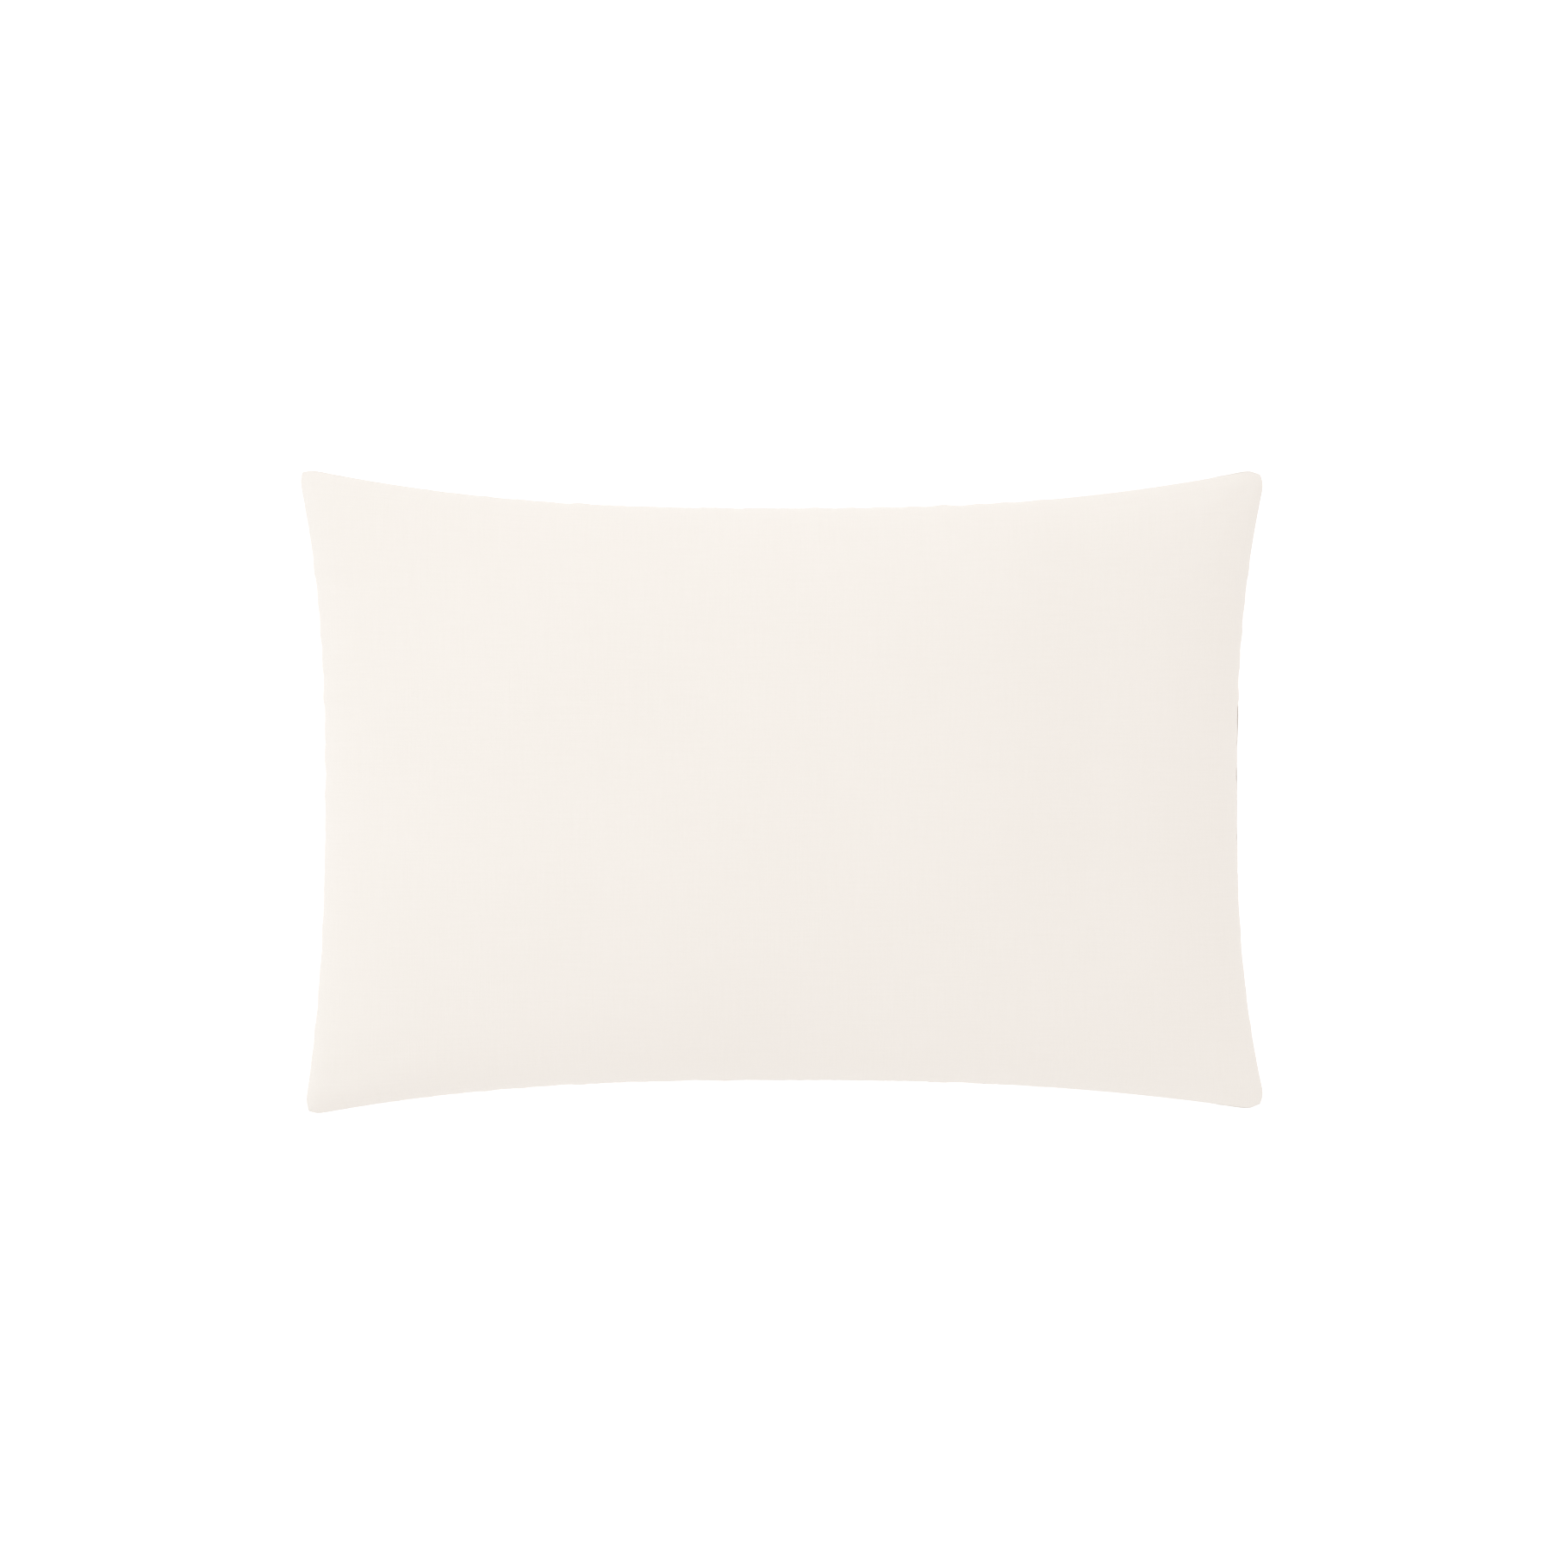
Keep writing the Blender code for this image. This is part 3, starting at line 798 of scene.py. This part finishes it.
def math_node(tree, operation, a, b=None):
    made = tree.nodes.new("ShaderNodeMath")
    made.operation = operation
    for slot, value in enumerate((a, b)):
        if value is None:
            continue
        if isinstance(value, (int, float)):
            made.inputs[slot].default_value = value
        else:
            tree.links.new(value, made.inputs[slot])
    return made.outputs[0]


def sum_of(tree, parts):
    """A weighted sum of (socket, weight) pairs."""
    total = None
    for socket, weight in parts:
        part = math_node(tree, "MULTIPLY", socket, weight)
        total = part if total is None else math_node(tree, "ADD", total, part)
    return total


def coloured_by(tree, shader, tone, dark, light, start=0.0, end=1.0):
    """Colours the surface from dark to light as its tone goes from start to end."""
    ramp = node(tree, "ShaderNodeValToRGB")
    ramp.color_ramp.elements[0].position = start
    ramp.color_ramp.elements[1].position = end
    ramp.color_ramp.elements[0].color = (*dark, 1)
    ramp.color_ramp.elements[1].color = (*light, 1)
    tree.links.new(tone, ramp.inputs["Fac"])
    tree.links.new(ramp.outputs["Color"], shader.inputs["Base Color"])


def raised_by(tree, shader, height, strength, distance):
    bump = node(tree, "ShaderNodeBump", Strength=strength, Distance=distance)
    tree.links.new(height, bump.inputs["Height"])
    tree.links.new(bump.outputs["Normal"], shader.inputs["Normal"])


def rough_by(tree, shader, tone, least, most):
    spread = node(tree, "ShaderNodeMapRange")
    spread.inputs["To Min"].default_value = least
    spread.inputs["To Max"].default_value = most
    tree.links.new(tone, spread.inputs["Value"])
    tree.links.new(spread.outputs["Result"], shader.inputs["Roughness"])


def woven_cotton(name, light, dark, roughness, thread_pitch, slub=1.0):
    """Plain weave: two sets of threads over and under, slubs in both, and a soft uneven dye."""
    made, tree, shader = base_material(name, light, roughness, 0.12)
    cloth = node(tree, "ShaderNodeUVMap", uv_map="cloth").outputs["UV"]
    place = node(tree, "ShaderNodeTexCoord").outputs["Object"]
    split = node(tree, "ShaderNodeSeparateXYZ")
    tree.links.new(cloth, split.inputs["Vector"])
    turn = 2 * math.pi / thread_pitch
    warp = math_node(tree, "SINE", math_node(tree, "MULTIPLY", split.outputs["Y"], turn))
    weft = math_node(tree, "SINE", math_node(tree, "MULTIPLY", split.outputs["X"], turn))
    weave = math_node(tree, "MULTIPLY", warp, weft)
    slub_x = stretched_noise(tree, cloth, (22, 760, 1), 3.0, 0.62)
    slub_y = stretched_noise(tree, cloth, (760, 22, 1), 3.0, 0.62)
    fleck = stretched_noise(tree, cloth, (420, 420, 1), 2.0, 0.6)
    cloud = stretched_noise(tree, place, (7, 7, 7), 3.0, 0.5)
    tone = sum_of(tree, [(slub_x, 0.34 * slub), (slub_y, 0.34 * slub), (fleck, 0.16), (cloud, 0.24)])
    coloured_by(tree, shader, tone, dark, light, 0.36, 0.70)
    rough_by(tree, shader, fleck, roughness - 0.07, roughness + 0.07)
    height = sum_of(tree, [(weave, 0.16), (slub_x, 0.55 * slub), (slub_y, 0.55 * slub), (fleck, 0.25)])
    raised_by(tree, shader, height, 0.55, 0.00016)
    return made


def twisted_thread(name, light, dark):
    """Sewing thread or overlock loops: fine slanting plies."""
    made, tree, shader = base_material(name, light, 0.55, 0.1)
    place = node(tree, "ShaderNodeTexCoord").outputs["Object"]
    plies = node(tree, "ShaderNodeTexWave", Scale=1 / (0.0011 * 20), Distortion=1.2, Detail=2.0)
    plies.bands_direction = "DIAGONAL"
    tree.links.new(place, plies.inputs["Vector"])
    coloured_by(tree, shader, plies.outputs["Fac"], dark, light)
    raised_by(tree, shader, plies.outputs["Fac"], 0.6, 0.0001)
    return made


def overlock_loops(name, light, dark):
    """Edge-to-edge loops of thread over cloth, close together along the seam."""
    made, tree, shader = base_material(name, light, 0.75, 0.15)
    cloth = node(tree, "ShaderNodeUVMap", uv_map="cloth").outputs["UV"]
    split = node(tree, "ShaderNodeSeparateXYZ")
    tree.links.new(cloth, split.inputs["Vector"])
    lean = math_node(tree, "MULTIPLY", split.outputs["Y"], 0.35)
    along = math_node(tree, "ADD", split.outputs["X"], lean)
    wave = math_node(tree, "SINE", math_node(tree, "MULTIPLY", along, 2 * math.pi / 0.0019))
    loops = math_node(tree, "POWER", math_node(tree, "ABSOLUTE", wave), 0.6)
    fleck = stretched_noise(tree, cloth, (900, 900, 1), 2.0, 0.6)
    tone = sum_of(tree, [(loops, 0.75), (fleck, 0.4)])
    coloured_by(tree, shader, tone, dark, light)
    raised_by(tree, shader, tone, 0.7, 0.0003)
    return made


def label_satin(name, light, dark):
    """Close satin: long floats one way, with a soft gloss, and nothing printed on it."""
    made, tree, shader = base_material(name, light, 0.36, 0.2)
    shader.inputs["Specular IOR Level"].default_value = 0.45
    cloth = node(tree, "ShaderNodeUVMap", uv_map="cloth").outputs["UV"]
    floats = stretched_noise(tree, cloth, (5200, 160, 1), 2.0, 0.5)
    fine = stretched_noise(tree, cloth, (300, 2600, 1), 2.0, 0.5)
    tone = sum_of(tree, [(floats, 0.6), (fine, 0.4)])
    coloured_by(tree, shader, tone, dark, light, 0.3, 0.7)
    rough_by(tree, shader, tone, 0.30, 0.44)
    raised_by(tree, shader, tone, 0.4, 0.00008)
    return made


def loose_fibre(name, light, dark):
    """Hollow polyester fibre: crimped wisps, matted into soft clumps."""
    made, tree, shader = base_material(name, light, 0.9, 0.35)
    place = node(tree, "ShaderNodeTexCoord").outputs["Object"]
    clumps = stretched_noise(tree, place, (38, 38, 38), 4.0, 0.6)
    wisps = stretched_noise(tree, place, (950, 120, 400), 4.0, 0.7)
    crossed = stretched_noise(tree, place, (140, 1000, 400), 4.0, 0.7)
    tone = sum_of(tree, [(clumps, 0.4), (wisps, 0.35), (crossed, 0.35)])
    coloured_by(tree, shader, tone, dark, light, 0.35, 0.75)
    raised_by(tree, shader, tone, 0.8, 0.0012)
    return made


# ------------------------------------------------------------------ making

camera_and_light()
studio_floor()

cream = woven_cotton("cream_percale", (0.885, 0.841, 0.797), (0.862, 0.817, 0.768), 0.84, 0.00056)
turned = woven_cotton("cream_percale_turned", (0.872, 0.826, 0.776), (0.846, 0.798, 0.744), 0.86, 0.00056)
overlock = overlock_loops("cream_overlock", (0.86, 0.81, 0.75), (0.72, 0.66, 0.59))
cream_thread = twisted_thread("cream_sewing_thread", (0.90, 0.86, 0.80), (0.80, 0.75, 0.68))
satin = label_satin("blank_satin_label", (0.86, 0.86, 0.85), (0.78, 0.78, 0.77))
ticking = woven_cotton("white_ticking", (0.815, 0.815, 0.808), (0.780, 0.780, 0.772), 0.82, 0.00042)
piping = woven_cotton("white_piping", (0.790, 0.790, 0.783), (0.720, 0.720, 0.712), 0.80, 0.00050, slub=1.3)
white_thread = twisted_thread("white_sewing_thread", (0.80, 0.80, 0.79), (0.66, 0.66, 0.65))
fibre = loose_fibre("white_fibre", (0.90, 0.90, 0.89), (0.78, 0.78, 0.77))

case_cloth = settle("case_pouch", CASE_FLAT, 0.0, 0.0, CASE_CORNER, 94, 63, 2.0, 12)
stand_off(case_cloth, FRONT, relief)
ticking_cloth = settle("ticking_pouch", TICKING_FLAT, TICKING_INSET, TICKING_DEPTH, TICKING_CORNER,
                       90, 59, 3.5, 14)
keep_inside(ticking_cloth, case_cloth, INSIDE_GAPS)

front = front_cloth(cream)
back = back_cloth(cream)
hem = under_layer("mouth_hem_cloth", turned, HEM_W, MOUTH_W, 22, HEM_DEPTH, with_gape=True)
flap = under_layer("tuck_flap_cloth", cream, FLAP_W, 0.9996, 60, FLAP_LAYER_DEPTH)
flap_hem = under_layer("flap_hem_cloth", turned, FLAP_W, FLAP_HEM_W, 14, FLAP_HEM_DEPTH)

rows = np.linspace(-0.975, 0.975, 153)
hem_row = np.full_like(rows, MOUTH_W - HEM_ROW / CASE_HALF[0])
outs = cloth_normal(case_cloth, hem_row, rows, BACK)
spots = back_place(hem_row, rows) + outs * STITCH_PROUD
hem_stitches = stitch_row("mouth_hem_stitches", cream_thread, spots, outs)
flap_row = np.full_like(rows, 1 - (FLAP_DEPTH - FLAP_STITCH_IN) / CASE_HALF[0])
outs = cloth_normal(case_cloth, flap_row, rows, BACK)
spots = cloth_point(case_cloth, flap_row, rows * LAYER_SHARE, BACK, -FLAP_LAYER_DEPTH + STITCH_PROUD)
flap_stitches = stitch_row("flap_stitches", cream_thread, spots, outs)

seams = {
    "case_seam_far": seam_strip("seam_far", overlock, True, 1),
    "case_seam_near": seam_strip("seam_near", overlock, True, -1),
    "case_seam_closed_end": seam_strip("seam_closed_end", overlock, False, -1),
    "case_seam_mouth_end": seam_strip("seam_mouth_end", overlock, False, 1),
}
care_tab = case_label(satin)

ticking_top = ticking_panel("ticking_top", ticking, FRONT)
ticking_bottom = ticking_panel("ticking_bottom", ticking, BACK)
cord = piped_edge(piping)
closing = closing_stitches(white_thread)
inner_tab = ticking_label(satin)
filling = fibre_filling(fibre)

stands_for = [
    (front, CASE, "cream_percale", "case_front_panel"),
    (back, CASE, "cream_percale", "case_back_panel"),
    (hem, CASE, "cream_percale_turned", "case_mouth_hem"),
    (flap, CASE, "cream_percale", "case_tuck_flap"),
    (flap_hem, CASE, "cream_percale_turned", "case_flap_hem"),
    (hem_stitches, CASE, "cream_sewing_thread", "case_hem_stitch"),
    (flap_stitches, CASE, "cream_sewing_thread", "case_flap_stitch"),
    (care_tab, CASE, "blank_satin_label", "case_care_label"),
    (ticking_top, INSERT, "white_ticking", "ticking_top_panel"),
    (ticking_bottom, INSERT, "white_ticking", "ticking_bottom_panel"),
    (cord, INSERT, "white_piping", "ticking_piped_edge"),
    (closing, INSERT, "white_sewing_thread", "ticking_closing_stitch"),
    (inner_tab, INSERT, "blank_satin_label", "ticking_care_label"),
    (filling, INSERT, "white_fibre", "fibre_filling"),
]
stands_for += [(piece, CASE, "cream_overlock", solid) for solid, piece in seams.items()]
for piece, body, finish, solid in stands_for:
    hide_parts(solid)
    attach(piece, body)
    if body == CASE:
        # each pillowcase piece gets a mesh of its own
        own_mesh(piece)

boxes = {"cad": cad_box, "visual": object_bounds()}
boxes = {name: [[float(x) for x in corner] for corner in box] for name, box in boxes.items()}
